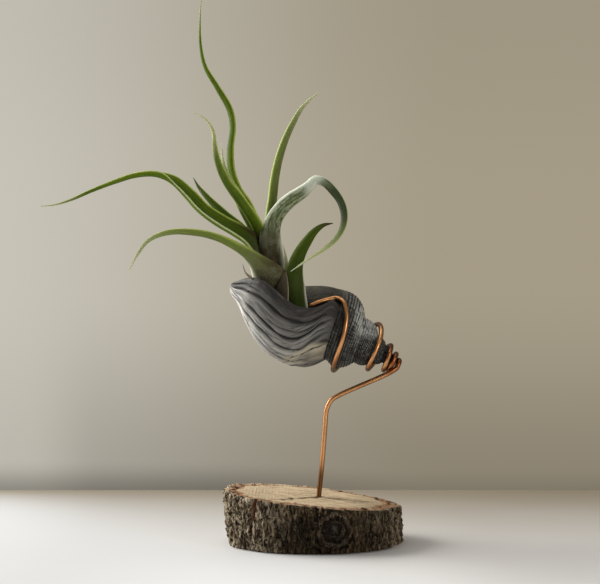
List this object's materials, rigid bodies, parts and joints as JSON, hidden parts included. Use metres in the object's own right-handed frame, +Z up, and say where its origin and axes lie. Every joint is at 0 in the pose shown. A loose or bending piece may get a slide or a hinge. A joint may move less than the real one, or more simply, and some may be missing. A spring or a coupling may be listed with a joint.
{
  "type": "air plant",
  "caption": "Air plant with long arching leaves growing from a sea snail's shell, which a bent copper wire holds above a bark-edged slice of log.",
  "frame": {"origin": "the middle of the log slice's flat underside, which stands on the table", "axes": "+Z up, +X to the right as seen in the picture, +Y away from the viewer"},
  "size_m": [0.1505, 0.0739, 0.234],
  "materials": {
    "wood": "sawn pale top with growth rings, rough dark brown-grey bark round the edge",
    "copper": "bare bright copper, smooth drawn surface",
    "shell": "dark grey and pale grey growth ridges, worn chalky patches, satin",
    "stem": "matt, fibrous",
    "leaf": "green and satin, silvery scales near the base",
    "grey_leaf": "grey-green, matt with silvery scales",
    "dry_leaf": "dry, papery, tan and grey-brown"
  },
  "bodies": {
    "root": {"wood_slice": "wood", "copper_wire": "copper", "sea_shell": "shell", "stem": "stem", "leaf_low_left": "leaf", "pup_leaf": "leaf", "pup_sheath": "dry_leaf", "leaf_grey_bent": "grey_leaf", "leaf_long_left": "leaf", "leaf_front": "leaf", "leaf_tall": "leaf", "leaf_back_right": "leaf", "leaf_back_left": "leaf", "leaf_pale_tip": "leaf", "leaf_inner_left": "leaf", "dry_bract": "dry_leaf", "dry_tip": "dry_leaf"}
  },
  "joints": []
}
